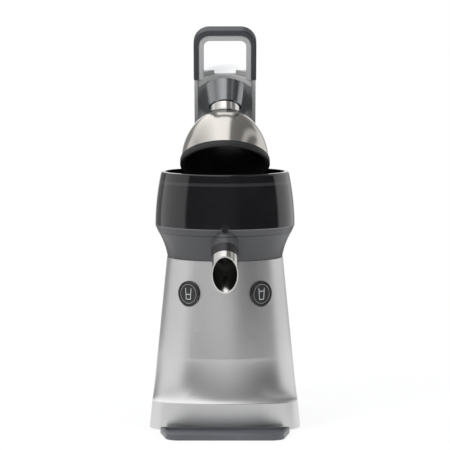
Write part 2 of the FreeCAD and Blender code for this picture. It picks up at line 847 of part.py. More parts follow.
def hinge_bush(side):
    low = V(side * ear_inner_half, hinge_y, hinge_z)
    high = V(side * ear_outer_half, hinge_y, hinge_z)
    return rod(pin_radius + bush_wall, low, high).cut(
        rod(pin_radius + run_fit, low - (high - low), high * 2 - low))


def pin_clip(side):
    low = V(side * arm_half_width, hinge_y, hinge_z)
    high = V(side * (arm_half_width + clip_thick), hinge_y, hinge_z)
    return rod(clip_radius, low, high).cut(rod(pin_radius, low - (high - low), high * 2 - low))


def return_spring():
    """The torsion spring's wound body with its lower leg, which lies on the column."""
    low = V(-spring_half_length, hinge_y, hinge_z)
    high = V(spring_half_length, hinge_y, hinge_z)
    coil = rod(spring_turn_radius + spring_wire_radius, low, high)
    coil = coil.cut(rod(spring_turn_radius - spring_wire_radius, low * 2 - high, high * 2 - low))
    leg_y = hinge_y + spring_turn_radius
    leg_x = spring_half_length - spring_wire_radius
    foot = V(leg_x, leg_y, column_top_z)
    return coil.fuse(rod(spring_wire_radius, foot, V(leg_x, leg_y, hinge_z))).removeSplitter()


def lever_switch():
    half = ear_inner_half - 6
    return box(-half, half, hinge_y - 10, hinge_y + 2, column_top_z, column_top_z + 7)


# Arm. It is drawn upright with the hinge axis through the origin, then leaned forward and raised.

def pressed(shape):
    """From the upright drawing to the fully pressed position."""
    shape.rotate(V(0, 0, 0), X_AXIS, arm_lean + lever_stroke)
    shape.translate(hinge)
    return shape


def raised(shape):
    """From the fully pressed position to rest."""
    shape.rotate(hinge, X_AXIS, -lever_stroke)
    return shape


def bent_strip(half, edge_front, back_front, edge_back, back_back, low, high):
    """A strip between two arcs in plan, each given by its edges' and its middle's place behind the hinge."""
    def at(x, y):
        return V(x, y, low)
    face = Part.Face(path([
        at(-half, edge_front), (at(0, back_front), at(half, edge_front)), at(half, edge_back),
        (at(0, back_back), at(-half, edge_back))]))
    return face.extrude(V(0, 0, high - low))


def bowed_block(half, edge_back, back_back, low, high):
    """A block that runs far to the front, with a bowed back given by its edges' and its middle's place."""
    def at(x, y):
        return V(x, y, low)
    face = Part.Face(path([at(half, edge_back), (at(0, back_back), at(-half, edge_back)),
                           at(-half, -past), at(half, -past)]))
    return face.extrude(V(0, 0, high - low))


def gutter_space(low, high):
    """The open space in front of the arm's inner wall."""
    return bowed_block(inner_half, -gutter_edge, gutter_back, low, high)


inner_half = arm_half_width - arm_wall
outer_edge = -gutter_edge + arm_wall + 1
frame_back = gutter_back + arm_wall


def arm_frame():
    def at(x, y):
        return V(x, y, arm_start)
    channel = Part.Face(path([
        at(-arm_half_width, -arm_front), at(-inner_half, -arm_front), at(-inner_half, -gutter_edge),
        (at(0, gutter_back), at(inner_half, -gutter_edge)), at(inner_half, -arm_front),
        at(arm_half_width, -arm_front), at(arm_half_width, outer_edge),
        (at(0, frame_back), at(-arm_half_width, outer_edge))])).extrude(V(0, 0, arm_end - arm_start))
    cheeks = []
    for low, high in ((-arm_half_width, -inner_half), (inner_half, arm_half_width)):
        cheek = prism_x(low, high, [
            (-arm_front, arm_start + cheek_lap), (-arm_front, 0), ((0, -arm_front), (arm_front, 0)),
            (outer_edge, arm_start + cheek_lap)])
        cheeks.append(cheek.cut(rod(pin_radius, V(-past, 0, 0), V(past, 0, 0))))
    return raised(pressed(fused([channel] + cheeks)))


cover_start = arm_start + cheek_lap + seat_gap


def arm_back_cover():
    shell = bent_strip(arm_half_width, outer_edge + seat_gap, frame_back + seat_gap,
                       outer_edge + cover_edge, arm_back,
                       cover_start, arm_end)
    hollow_half = arm_half_width - 8
    wall_bow = arm_back - back_cover_wall
    rise = (arm_back - outer_edge) * (hollow_half / arm_half_width) ** 2
    inner_edge = wall_bow - rise
    hollow = bowed_block(hollow_half, inner_edge, wall_bow, cover_start + back_cover_wall,
                         arm_end - back_cover_wall)
    return raised(pressed(shell.cut(hollow)))


def loop_plan(half, low, high, corner, y):
    """A plan with two rounded upper corners, in the arm's own upright plane."""
    cut = corner * (1 - math.sqrt(0.5))
    return path([
        V(-half, y, low), V(-half, y, high - corner), (V(cut - half, y, high - cut), V(corner - half, y, high)),
        V(half - corner, y, high), (V(half - cut, y, high - cut), V(half, y, high - corner)), V(half, y, low)])


loop_half = arm_half_width + grip_proud - grip_side
loop_top = grip_top_end - grip_top


def handle_loop():
    depth = loop_front + loop_back
    frame = Part.Face(loop_plan(loop_half, arm_end, loop_top, loop_corner_radius,
                                -loop_front)).extrude(V(0, depth, 0))
    opening_half = loop_half - loop_side
    opening = Part.Face(loop_plan(opening_half, arm_end + loop_bottom_bar, loop_top - loop_top_bar,
                                  loop_corner_radius - loop_side, -past)).extrude(V(0, 2 * past, 0))
    dish = gutter_space(arm_end, arm_end + loop_bottom_bar)
    dish = dish.common(box(-opening_half, opening_half, -past, past, arm_end, arm_end + loop_bottom_bar))
    frame = frame.cut(opening).cut(dish)
    rims = [e for e in frame.Edges if e.CenterOfMass.z > arm_end + loop_bottom_bar + 8
            and e.BoundBox.YLength < 0.01]
    return raised(pressed(frame.makeFillet(loop_edge_round, rims)))


def handle_grip():
    outer_half = arm_half_width + grip_proud
    low = arm_end + seat_gap
    depth = grip_front + grip_back
    bar = Part.Face(loop_plan(outer_half, low, grip_top_end, grip_corner_radius,
                              -grip_front)).extrude(V(0, depth, 0))
    inside = Part.Face(loop_plan(loop_half, low - 1, loop_top, loop_corner_radius,
                                 -past)).extrude(V(0, 2 * past, 0))
    rims = [e for e in bar.Edges if e.BoundBox.YLength < 0.01 and e.CenterOfMass.z > low + 1]
    return raised(pressed(bar.makeFillet(grip_edge_round, rims).cut(inside)))


# Bell group. It is drawn upright on the spindle axis, fully pressed, then raised.

def above_rim(height):
    return bell_rim_z + height


def bell_form(inset, low):
    """The bell's solid form, moved in by inset, on the rim plane with a straight foot reaching down by low."""
    foot = bell_radius - inset
    return turned([(0, bell_rim_z - low), (foot, bell_rim_z - low), (foot, bell_rim_z),
                   ((bell_bow_radius - inset * bow_share, above_rim(bell_bow_height - inset * (1 - bow_share))),
                    (bell_top_radius - inset * bow_share, above_rim(bell_height - inset * (1 - bow_share)))),
                   (0, above_rim(bell_height - inset * (1 - bow_share)))])


def bell_dome():
    shell = bell_form(0, 0).cut(bell_form(bell_wall, bell_wall))
    roof = bell_form(0, 0).common(upright(bell_radius, above_rim(bell_height - bell_roof),
                                          above_rim(bell_height)))
    return raised(shell.fuse(roof).cut(upright(stem_radius, 0, above_rim(past))).removeSplitter())


def bell_liner():
    below_roof = upright(bell_radius, 0, above_rim(bell_height - bell_roof))
    outside = bell_form(bell_wall, 0).common(below_roof)
    roof_low = above_rim(bell_height - bell_roof - liner_wall)
    shell = outside.cut(bell_form(bell_wall + liner_wall, liner_wall))
    roof = outside.common(upright(bell_radius, roof_low, above_rim(bell_height)))
    return raised(shell.fuse(roof).cut(upright(stem_radius, 0, above_rim(past))).removeSplitter())


def bell_rim():
    low = bell_rim_z - rim_ring_height
    middle = (rim_ring_radius + rim_ring_inner) / 2
    round_side = rim_ring_height / 2
    return raised(turned([
        (rim_ring_inner + 1, bell_rim_z), (rim_ring_inner + 1, low + round_side),
        ((middle, low), (rim_ring_radius, low + round_side)), (rim_ring_radius, bell_rim_z)]))


def bell_collar():
    return raised(ring(neck_radius, stem_radius, above_rim(neck_start), above_rim(neck_end)))


def nut_top():
    return above_rim(bell_height - bell_roof) - liner_wall


def bell_stem():
    return raised(upright(stem_radius, nut_top() - nut_height - 2, above_rim(boss_high - 4)))


def stem_nut():
    sides = [V(nut_radius * math.cos(math.pi * i / 3), nut_radius * math.sin(math.pi * i / 3),
               nut_top() - nut_height)
             for i in range(6)]
    nut = Part.Face(path(sides)).extrude(V(0, 0, nut_height))
    return raised(nut.cut(upright(stem_radius, 0, above_rim(past))))


def stem_carrier():
    boss = turned([(0, above_rim(boss_low)), (boss_low_radius, above_rim(boss_low)),
                   (boss_high_radius, above_rim(boss_high)), (0, above_rim(boss_high))])
    web = prism_x(-web_half_width, web_half_width, [
        (gutter_back, web_low), (gutter_back, web_high), (web_front, web_high + web_rise),
        (web_front, web_high - web_depth)])
    web = pressed(web.common(gutter_space(0, arm_end)))
    under = upright(boss_low_radius * 3, bell_rim_z, above_rim(boss_low))
    carrier = boss.fuse(web).cut(under)
    skirt = upright(boss_low_radius - boss_skirt_wall, above_rim(boss_low),
                    above_rim(boss_low + boss_skirt_depth))
    carrier = carrier.cut(skirt)
    carrier = carrier.cut(upright(stem_radius, 0, above_rim(boss_high - 4)))
    collar_seat = upright(neck_radius, above_rim(neck_start), above_rim(neck_end))
    return raised(carrier.cut(collar_seat).removeSplitter())


# Electrics

def mains_inlet():
    wall_y = rear_at(inlet_z)
    half_w = inlet_width / 2
    half_h = inlet_height / 2
    shell = box(-half_w, half_w, wall_y - inlet_depth, wall_y + inlet_flange_thick, inlet_z - half_h,
                inlet_z + half_h)
    recess = box(inlet_wall - half_w, half_w - inlet_wall, wall_y - inlet_depth + 4,
                 wall_y + inlet_flange_thick + 1,
                 inlet_z - half_h + inlet_wall, inlet_z + half_h - inlet_wall)
    flange = box(-half_w - inlet_flange, half_w + inlet_flange, wall_y + 0.4, wall_y + inlet_flange_thick,
                 inlet_z - half_h - 2, inlet_z + half_h + 2)
    shell = shell.fuse(flange).cut(recess)
    pins = []
    for x, rise in ((-7.0, -2.0), (0.0, 2.0), (7.0, -2.0)):
        pins.append(box(x - inlet_pin_thick / 2, x + inlet_pin_thick / 2, wall_y - inlet_depth + 3,
                        wall_y - inlet_depth + 4 + inlet_pin_length, inlet_z + rise - inlet_pin_width / 2,
                        inlet_z + rise + inlet_pin_width / 2))
    return fused([shell] + pins)


def control_board():
    return box(-board_width / 2, board_width / 2, board_y - board_depth / 2, board_y + board_depth / 2,
               board_z, board_z + board_thick)


def power_relay():
    half = relay_side / 2
    return box(-half, half, board_y - half, board_y + half, board_z + board_thick,
               board_z + board_thick + relay_height)


os.makedirs("parts", exist_ok=True)
upper_skin = cone_body(0, 0)

save("body_shell", body_shell())
save("base_plate", base_plate())
save("rubber_feet", *[upright(foot_radius, 0, shell_bottom_z, x, y) for x, y in foot_places()])
save("base_screws", *[screw(x, y, shell_bottom_z, screw_thread) for x, y in post_places()])
save("drip_tray", drip_tray())
save("drive_posts", *drive_posts())
save("drive_plate", drive_plate())
save("plate_screws", *[screw(x, y, plate_z + plate_thick + screw_head_height, screw_thread, -1)
                       for x, y in post_places()])
save("motor_can", motor_can())
save("motor_stator", motor_stator())
save("motor_rotor", motor_rotor())
save("motor_pinion", motor_pinion())
save("drive_gear", drive_gear())
save("drive_spindle", drive_spindle())
save("drive_pin", drive_pin())
save("lower_bearing", ring(bearing_radius, spindle_radius + run_fit,
                           plate_z + plate_thick - bearing_width, plate_z + plate_thick))
save("upper_bearing", ring(bearing_radius, spindle_radius + run_fit, body_top_z - bearing_width, body_top_z))
save("top_deck", top_deck())
save("bowl_base", bowl_base())
save("bowl_floor", ring(bowl_foot_radius - bowl_wall - seat_gap, chimney_bore, body_top_z, bowl_floor_z))
save("spindle_sleeve", ring(chimney_radius, chimney_bore, bowl_floor_z, chimney_top_z))
save("spindle_seal", spindle_seal())
save("strainer", strainer())
save("bowl_gasket", bowl_gasket())
save("bowl_cover", bowl_cover())
save("reamer", reamer())
save("spout_tube", spout_tube())
save("spout_collar", spout_collar())
for name, side in (("left", -1), ("right", 1)):
    save("button_bezel_" + name, button_bezel(side))
    save("button_cap_" + name, button_cap(side))
    save("button_spring_" + name, button_spring(side))
    save("button_switch_" + name, button_switch(side))
save("rear_column", rear_column())
save("column_screws", *[screw(x, y, deck_low_z - screw_head_height, deck_thick + 3)
                        for x, y in column_screw_places()])
save("hinge_pin", hinge_pin())
save("hinge_bushes", hinge_bush(-1), hinge_bush(1))
save("pin_clips", pin_clip(-1), pin_clip(1))
save("return_spring", return_spring())
save("lever_switch", lever_switch())
save("arm_frame", arm_frame())
save("arm_back_cover", arm_back_cover())
save("handle_loop", handle_loop())
save("handle_grip", handle_grip())
save("stem_carrier", stem_carrier())
save("bell_stem", bell_stem())
save("bell_collar", bell_collar())
save("bell_dome", bell_dome())
save("bell_liner", bell_liner())
save("bell_rim", bell_rim())
save("stem_nut", stem_nut())
save("mains_inlet", mains_inlet())
save("control_board", control_board())
save("power_relay", power_relay())
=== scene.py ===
import math

import bmesh
import bpy
from mathutils import Matrix, Vector


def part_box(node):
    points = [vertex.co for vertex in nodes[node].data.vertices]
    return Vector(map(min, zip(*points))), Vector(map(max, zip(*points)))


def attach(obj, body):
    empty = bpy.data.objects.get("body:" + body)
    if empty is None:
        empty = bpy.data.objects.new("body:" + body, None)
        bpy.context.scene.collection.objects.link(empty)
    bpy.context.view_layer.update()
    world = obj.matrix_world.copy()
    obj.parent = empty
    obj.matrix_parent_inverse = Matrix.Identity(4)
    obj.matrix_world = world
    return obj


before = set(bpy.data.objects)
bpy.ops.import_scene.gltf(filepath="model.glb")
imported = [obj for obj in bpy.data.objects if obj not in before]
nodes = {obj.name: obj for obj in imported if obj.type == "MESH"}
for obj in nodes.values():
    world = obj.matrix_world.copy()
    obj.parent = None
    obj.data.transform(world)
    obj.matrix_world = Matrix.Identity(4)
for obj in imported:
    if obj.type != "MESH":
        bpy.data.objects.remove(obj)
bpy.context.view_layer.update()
print("frame loaded", len(nodes), "nodes")


# shader maths: a Val is one socket, and an expression on Vals adds its Math nodes

class Val:
    def __init__(self, sheet, socket):
        self.sheet = sheet
        self.socket = socket

    def maths(self, operation, first, second):
        return self.sheet.add("ShaderNodeMath", {"operation": operation}, {0: first, 1: second})

    def __add__(self, other):
        return self.maths("ADD", self, other)

    def __radd__(self, other):
        return self.maths("ADD", other, self)

    def __sub__(self, other):
        return self.maths("SUBTRACT", self, other)

    def __rsub__(self, other):
        return self.maths("SUBTRACT", other, self)

    def __mul__(self, other):
        return self.maths("MULTIPLY", self, other)

    def __truediv__(self, other):
        return self.maths("DIVIDE", self, other)

    def step(self, low, high):  # 0 below low, 1 above high, smooth between
        return self.sheet.add("ShaderNodeMapRange", {"interpolation_type": "SMOOTHSTEP"},
                              {"Value": self, "From Min": low, "From Max": high})


class Sheet:
    def __init__(self, tree):
        self.tree = tree
        self.tree.nodes.clear()

    def add(self, kind, settings=None, inputs=None, out=0):
        made = self.tree.nodes.new(kind)
        for key, value in (settings or {}).items():
            if key == "stops":  # a ramp's stops: position and colour
                ramp = made.color_ramp.elements
                while len(ramp) < len(value):
                    ramp.new(0.5)
                for element, (place, colour) in zip(ramp, value):
                    element.position = place
                    element.color = (*colour, 1)
            else:
                setattr(made, key, value)
        for key, value in (inputs or {}).items():
            if isinstance(value, Val):
                self.tree.links.new(value.socket, made.inputs[key])
            else:
                made.inputs[key].default_value = value
        return Val(self, made.outputs[out]) if made.outputs else None

    def place(self, size=(1, 1, 1)):  # object coordinates, scaled
        here = self.add("ShaderNodeTexCoord", out="Object")
        return self.add("ShaderNodeMapping", {}, {"Vector": here, "Scale": size})

    def noise(self, scale, detail, size=(1, 1, 1)):
        inputs = {"Vector": self.place(size), "Scale": scale, "Detail": detail}
        return self.add("ShaderNodeTexNoise", {}, inputs)

    def height(self):  # z of the point, in metres
        here = self.add("ShaderNodeTexCoord", out="Object")
        return self.add("ShaderNodeSeparateXYZ", {}, {0: here}, out=2)

    def ray(self, kind):
        return self.add("ShaderNodeLightPath", out="Is " + kind + " Ray")

    def backdropRays(self):  # 1 for the rays that see the floor and the backdrop as they are
        camera = self.ray("Camera")
        either = camera.maths("MAXIMUM", camera, self.ray("Glossy"))
        return either.maths("MAXIMUM", either, self.ray("Transmission"))

    def blend(self, factor, first, second):  # mix of two colours
        mixed = {"data_type": "RGBA"}
        return self.add("ShaderNodeMix", mixed, {0: factor, 6: first, 7: second}, out=2)

    def bump(self, height, strength, distance):
        return self.add("ShaderNodeBump", {}, {"Height": height, "Strength": strength, "Distance": distance})

    def surface(self, **inputs):
        named = {key.replace("_", " "): value for key, value in inputs.items()}
        shader = self.add("ShaderNodeBsdfPrincipled", {}, named)
        self.add("ShaderNodeOutputMaterial", {}, {0: shader})


def newSheet(name):
    made = bpy.data.materials.new(name)
    made.use_nodes = True
    return made, Sheet(made.node_tree)


# finishes

def shade(colour, times):
    return (*[min(1, c * times) for c in colour], 1)


def brushedMetal(name, colour, rough, grain, streak, spread, metal=1.0):
    made, sheet = newSheet(name)
    lines = sheet.noise(grain, 3.0, streak)
    cloud = sheet.noise(9.0, 2.0)
    tone = sheet.blend(cloud.step(0.3, 0.7), shade(colour, 0.96), shade(colour, 1))
    tone = sheet.blend((lines - 0.5) * spread + 0.5, tone, shade(colour, 1.06))
    sheet.surface(Base_Color=tone, Metallic=metal, Roughness=rough + (lines - 0.5) * spread * 0.2,
                  Normal=sheet.bump(lines, spread * 0.1, 0.0001))
    return made


def mouldedPlastic(name, colour, rough, grain=1400.0, depth=0.12, coat=0.0):
    made, sheet = newSheet(name)
    fine = sheet.noise(grain, 2.0)
    cloud = sheet.noise(14.0, 3.0)
    tone = sheet.blend(cloud.step(0.25, 0.75), shade(colour, 0.88), shade(colour, 1.08))
    sheet.surface(Base_Color=tone, Roughness=rough + (fine - 0.5) * 0.12 + (cloud - 0.5) * 0.06,
                  Coat_Weight=coat, Normal=sheet.bump(fine, depth, 0.0001))
    return made


def smokedGloss(name, bandLow, bandHigh):
    made, sheet = newSheet(name)
    cloud = sheet.noise(16.0, 4.0)
    dust = sheet.noise(900.0, 1.0)
    z = sheet.height()
    soft = 0.0006  # the strip's edges fade over this, in metres
    band = z.step(bandLow, bandLow + soft) * (1 - z.step(bandHigh - soft, bandHigh))  # strip under the rim
    tone = sheet.blend(cloud.step(0.3, 0.7), (0.002, 0.002, 0.003, 1), (0.006, 0.006, 0.007, 1))
    tone = sheet.blend(band * 0.6, tone, (0.036, 0.036, 0.038, 1))
    sheet.surface(Base_Color=tone, Roughness=0.05 + cloud * 0.05 + dust.step(0.68, 0.75) * 0.1 + band * 0.05,
                  Coat_Weight=0.3)
    return made


def satinBowl(name, colour, highlightZ, grooveZ):
    made, sheet = newSheet(name)
    fine = sheet.noise(1300.0, 2.0)
    cloud = sheet.noise(14.0, 3.0)
    z = sheet.height()
    edge = z.step(highlightZ - 0.0004, highlightZ)  # painted highlight: a lighter line along the flange's top edge
    wide, deep = 0.0006, 0.0002  # half widths of the groove at its lips and at its bottom
    groove = z.step(grooveZ - wide, grooveZ - deep) * (1 - z.step(grooveZ + deep, grooveZ + wide))
    tone = sheet.blend(cloud.step(0.25, 0.75), shade(colour, 0.9), shade(colour, 1.08))
    tone = sheet.blend(edge * 0.7, tone, (0.16, 0.16, 0.165, 1))
    # painted shade: besides its bump, the groove is darkened almost to black in the colour
    tone = sheet.blend(groove * 0.85, tone, (0.008, 0.008, 0.009, 1))
    sheet.surface(Base_Color=tone, Roughness=0.34 + (fine - 0.5) * 0.1 + (cloud - 0.5) * 0.06,
                  Normal=sheet.bump(fine * 0.1 - groove, 1.0, 0.0002))
    return made


def softRubber(name, colour, rough):
    made, sheet = newSheet(name)
    pores = sheet.add("ShaderNodeTexVoronoi", {}, {"Vector": sheet.place(), "Scale": 1900.0})
    cloud = sheet.noise(20.0, 3.0)
    tone = sheet.blend(cloud, shade(colour, 0.85), shade(colour, 1.12))
    sheet.surface(Base_Color=tone, Roughness=rough + (cloud - 0.5) * 0.12,
                  Normal=sheet.bump(pores, 0.1, 0.0001))
    return made


finishes = {
    "bodyMetal": brushedMetal("bodyMetal", (0.69, 0.69, 0.687), 0.36, 230.0, (0.12, 0.12, 6), 0.35),
    "bellMetal": brushedMetal("bellMetal", (0.58, 0.555, 0.52), 0.16, 180.0, (5, 0.3, 0.3), 0.3),
    "neckMetal": brushedMetal("neckMetal", (0.27, 0.275, 0.285), 0.24, 200.0, (4, 0.3, 0.3), 0.4),
    "spoutMetal": brushedMetal("spoutMetal", (0.62, 0.61, 0.59), 0.14, 150.0, (5, 0.4, 0.4), 0.3),
    "plainSteel": brushedMetal("plainSteel", (0.52, 0.52, 0.52), 0.35, 80.0, (1, 1, 6), 0.4),
    "brightSteel": brushedMetal("brightSteel", (0.70, 0.69, 0.67), 0.12, 90.0, (1, 1, 8), 0.3),
    "bearingBronze": brushedMetal("bearingBronze", (0.6, 0.42, 0.2), 0.3, 80.0, (6, 1, 1), 0.4),
    "armMetal": brushedMetal("armMetal", (0.40, 0.403, 0.407), 0.34, 190.0, (5, 0.3, 0.2), 0.6, 0.4),
    # near-white plastic whose colour is a painted reflection, standing in for the shine of the arm's polished
    # end
    "capPaintedReflection": mouldedPlastic("capPaintedReflection", (0.82, 0.82, 0.81), 0.22, 1500.0, 0.04, 0.4),
    # a lighter copy of loopPlastic, painted light to offset the shade on the loop bridge's downward face
    "bridgePlasticPaintedLight": mouldedPlastic("bridgePlasticPaintedLight", (0.56, 0.55, 0.54), 0.36, 1200.0, 0.1),
    "loopPlastic": mouldedPlastic("loopPlastic", (0.41, 0.405, 0.395), 0.38, 1200.0, 0.1),
    "bowlPlastic": mouldedPlastic("bowlPlastic", (0.055, 0.055, 0.058), 0.36, 1300.0, 0.15),
    "trayPlastic": mouldedPlastic("trayPlastic", (0.085, 0.088, 0.098), 0.36, 1200.0, 0.15),
    "blackPlastic": mouldedPlastic("blackPlastic", (0.012, 0.012, 0.013), 0.3, 1300.0, 0.1),
    "capPlastic": mouldedPlastic("capPlastic", (0.014, 0.014, 0.015), 0.4, 1500.0, 0.1),
    "ringPlastic": mouldedPlastic("ringPlastic", (0.34, 0.34, 0.34), 0.3, 1500.0, 0.05),
    "signPaint": mouldedPlastic("signPaint", (0.62, 0.62, 0.61), 0.5, 1500.0, 0.05),
    "boardGreen": mouldedPlastic("boardGreen", (0.03, 0.13, 0.05), 0.4, 900.0, 0.1),
    "gripRubber": softRubber("gripRubber", (0.024, 0.026, 0.030), 0.46),
    "rimRubber": softRubber("rimRubber", (0.013, 0.013, 0.0135), 0.5),
    "footRubber": softRubber("footRubber", (0.02, 0.02, 0.02), 0.7),
    "smokedGloss": smokedGloss("smokedGloss", 0.2823, 0.2866),
    "bowlSatin": satinBowl("bowlSatin", (0.055, 0.055, 0.058), 0.2332, 0.2258),
}
wears = {
    "bodyMetal": ["body_shell"],
    "bellMetal": ["bell_dome", "strainer"],
    "spoutMetal": ["spout_tube"],
    "brightSteel": ["bell_collar", "hinge_pin", "pin_clips"],
    "bearingBronze": ["hinge_bushes"],
    "armMetal": ["arm_frame", "arm_back_cover"],
    "neckMetal": ["stem_carrier"],
    "loopPlastic": ["handle_loop"],
    "bowlSatin": ["bowl_base"],
    "bowlPlastic": ["bowl_floor", "spindle_sleeve", "top_deck", "rear_column", "reamer", "base_plate"],
    "trayPlastic": ["drip_tray"],
    "blackPlastic": ["spout_collar", "button_bezel_left", "button_bezel_right", "button_switch_left",
                     "button_switch_right", "lever_switch", "mains_inlet", "bell_liner", "drive_gear",
                     "power_relay"],
    "capPlastic": ["button_cap_left", "button_cap_right"],
    "boardGreen": ["control_board"],
    "gripRubber": ["handle_grip"],
    "rimRubber": ["bell_rim", "bowl_gasket", "spindle_seal"],
    "footRubber": ["rubber_feet"],
    "smokedGloss": ["bowl_cover"],
}
finishOf = {node: finish for finish, worn in wears.items() for node in worn}


def wear(piece, finish):
    piece.data.materials.clear()
    piece.data.materials.append(finishes[finish])


for name, piece in nodes.items():
    wear(piece, finishOf.get(name, "plainSteel"))
print("finishes given to", len(nodes), "nodes")


# new pieces

def finishPiece(name, mesh, finish, body, smooth=True):
    bmesh.ops.remove_doubles(mesh, verts=mesh.verts, dist=1e-6)
    bmesh.ops.recalc_face_normals(mesh, faces=mesh.faces)
    data = bpy.data.meshes.new(name)
    mesh.to_mesh(data)
    mesh.free()
    for face in data.polygons:
        face.use_smooth = smooth
    piece = bpy.data.objects.new(name, data)
    bpy.context.scene.collection.objects.link(piece)
    data.materials.append(finishes[finish])
    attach(piece, body)


def spunRing(profile, segments=96):  # a closed ring from (radius, height) points, about z
    mesh = bmesh.new()
    points = [mesh.verts.new((r, 0, z)) for r, z in profile]
    edges = [mesh.edges.new((a, b)) for a, b in zip(points, points[1:] + points[:1])]
    bmesh.ops.spin(mesh, geom=points + edges, cent=(0, 0, 0), axis=(0, 0, 1), angle=2 * math.pi,
                   steps=segments, use_merge=True)
    return mesh


def thicken(mesh, faces, move):  # extrude faces by a vector
    raised = bmesh.ops.extrude_face_region(mesh, geom=faces)
    moved = [v for v in raised["geom"] if isinstance(v, bmesh.types.BMVert)]
    bmesh.ops.translate(mesh, vec=move, verts=moved)


def roundRims(mesh, offset):
    sharp = 0.9  # radians between faces
    rims = [e for e in mesh.edges if e.is_manifold and e.calc_face_angle(0) > sharp]
    bmesh.ops.bevel(mesh, geom=rims, offset=offset, segments=2, profile=0.5, affect="EDGES", material=-1)


button = {
    "turn": 36.0,            # degrees round from the front
    "ringOut": 0.0114, "ringIn": 0.0107, "ringProud": 0.0003, "ringSlope": 0.0002,
    "signWide": 0.0078, "signFoot": 0.0060, "signTall": 0.0125, "signLine": 0.0007, "signProud": 0.00012,
    "fill": {"left": 0.45, "right": 0.75},  # level of the line in the sign
}


def capFace(node):  # centre of the cap's front and a matrix that stands +z on it
    low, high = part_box(node)
    side = 1 if low.x + high.x > 0 else -1
    turn = math.radians(button["turn"])
    out = Vector((side * math.sin(turn), -math.cos(turn), 0))
    reach = max(v.co.dot(out) for v in nodes[node].data.vertices)
    front = [v.co for v in nodes[node].data.vertices if v.co.dot(out) > reach - 1e-5]
    centre = sum(front, Vector()) / len(front)
    up = Vector((0, 0, 1))
    across = up.cross(out)
    return Matrix.Translation(centre) @ Matrix((across, up, out)).transposed().to_4x4()


def tumblerSign(fill):  # outline of a tumbler with a level line, standing on z = 0
    b = button
    mesh = bmesh.new()

    def stroke(start, end):
        along = (Vector(end) - Vector(start)).normalized() * b["signLine"] / 2
        across = Vector((-along.y, along.x))
        a, c = Vector(start) - along, Vector(end) + along
        corners = [mesh.verts.new((*p, 0)) for p in (a - across, c - across, c + across, a + across)]
        face = mesh.faces.new(corners)
        thicken(mesh, [face], (0, 0, b["signProud"]))

    halfTop, halfFoot, halfTall = b["signWide"] / 2, b["signFoot"] / 2, b["signTall"] / 2
    level = halfTall * (2 * fill - 1)
    halfLevel = halfFoot + (halfTop - halfFoot) * fill
    stroke((-halfTop, halfTall), (-halfFoot, -halfTall))
    stroke((-halfFoot, -halfTall), (halfFoot, -halfTall))
    stroke((halfFoot, -halfTall), (halfTop, halfTall))
    stroke((-halfLevel, level), (halfLevel, level))
    return mesh


for side, fill in button["fill"].items():
    where = capFace("button_cap_" + side)
    sign = tumblerSign(fill)
    bmesh.ops.transform(sign, matrix=where, verts=sign.verts)
    finishPiece("button_sign_" + side, sign, "signPaint", side + "_button", smooth=False)
    inner, outer, proud, slope = [button["ring" + key] for key in ("In", "Out", "Proud", "Slope")]
    ring = spunRing([(inner, 0), (inner + slope, proud), (outer - slope, proud), (outer, 0)])
    bmesh.ops.transform(ring, matrix=where, verts=ring.verts)
    finishPiece("button_ring_" + side, ring, "ringPlastic", side + "_button")
print("button signs and rings made")


arm = {"hinge": (0.0, 0.106, 0.293), "lean": 22.0}  # degrees back from upright


def onArm(across, behind, along):  # across, behind the hinge axis and along the arm
    lean = math.radians(arm["lean"])
    x, y, z = arm["hinge"]
    return Vector((x + across, y + math.cos(lean) * behind - math.sin(lean) * along,
                   z + math.sin(lean) * behind + math.cos(lean) * along))


cap = {"half": 0.0236, "front": 0.0045, "back": 0.0215, "bow": 0.0055, "low": 0.1222, "rise": 0.0048,
       "sideDrop": 0.3, "thick": 0.0016, "round": 0.0004, "across": 24, "deep": 6}


def endCap():  # bowed plate on the arm's upper end, seen through the finger loop; its near-white colour is a painted reflection of polished metal
    c = cap
    mesh = bmesh.new()
    bmesh.ops.create_grid(mesh, x_segments=c["across"], y_segments=c["deep"], size=1.0)
    top = list(mesh.faces)
    for v in mesh.verts:
        side, share = v.co.x, (v.co.y + 1) / 2
        back = c["back"] - c["bow"] * side * side
        behind = c["front"] + (back - c["front"]) * share
        rise = c["rise"] * share * (1 - c["sideDrop"] * side * side)
        v.co = onArm(side * c["half"], behind, c["low"] + c["thick"] + rise)
    down = onArm(0, 0, 0) - onArm(0, 0, c["thick"])
    thicken(mesh, top, down)
    roundRims(mesh, c["round"])
    return mesh


bridge = {"half": 0.0318, "edge": -0.009, "middle": 0.006, "clear": 0.0009, "thick": 0.0014, "high": 0.1224,
          "tall": 0.0048, "sideTall": 0.0062, "round": 0.0004, "across": 32, "up": 4}


def loopBridge():  # band that ties the loop's two legs together along the gutter's upper end; its lighter finish is painted light against the shade on its downward face
    c = bridge
    mesh = bmesh.new()
    bmesh.ops.create_grid(mesh, x_segments=c["across"], y_segments=c["up"], size=1.0)
    front = list(mesh.faces)
    for v in mesh.verts:
        side, share = v.co.x, (v.co.y + 1) / 2
        behind = c["middle"] + (c["edge"] - c["middle"]) * side * side - c["clear"] - c["thick"]
        tall = c["tall"] + c["sideTall"] * side * side
        v.co = onArm(side * c["half"], behind, c["high"] - tall * (1 - share))
    deeper = onArm(0, c["thick"], 0) - onArm(0, 0, 0)
    thicken(mesh, front, deeper)
    roundRims(mesh, c["round"])
    return mesh


finishPiece("arm_end_cap", endCap(), "capPaintedReflection", "lever")
finishPiece("loop_bridge", loopBridge(), "bridgePlasticPaintedLight", "lever")
print("end cap and loop bridge made")


# stage: floor, world, lamps and camera

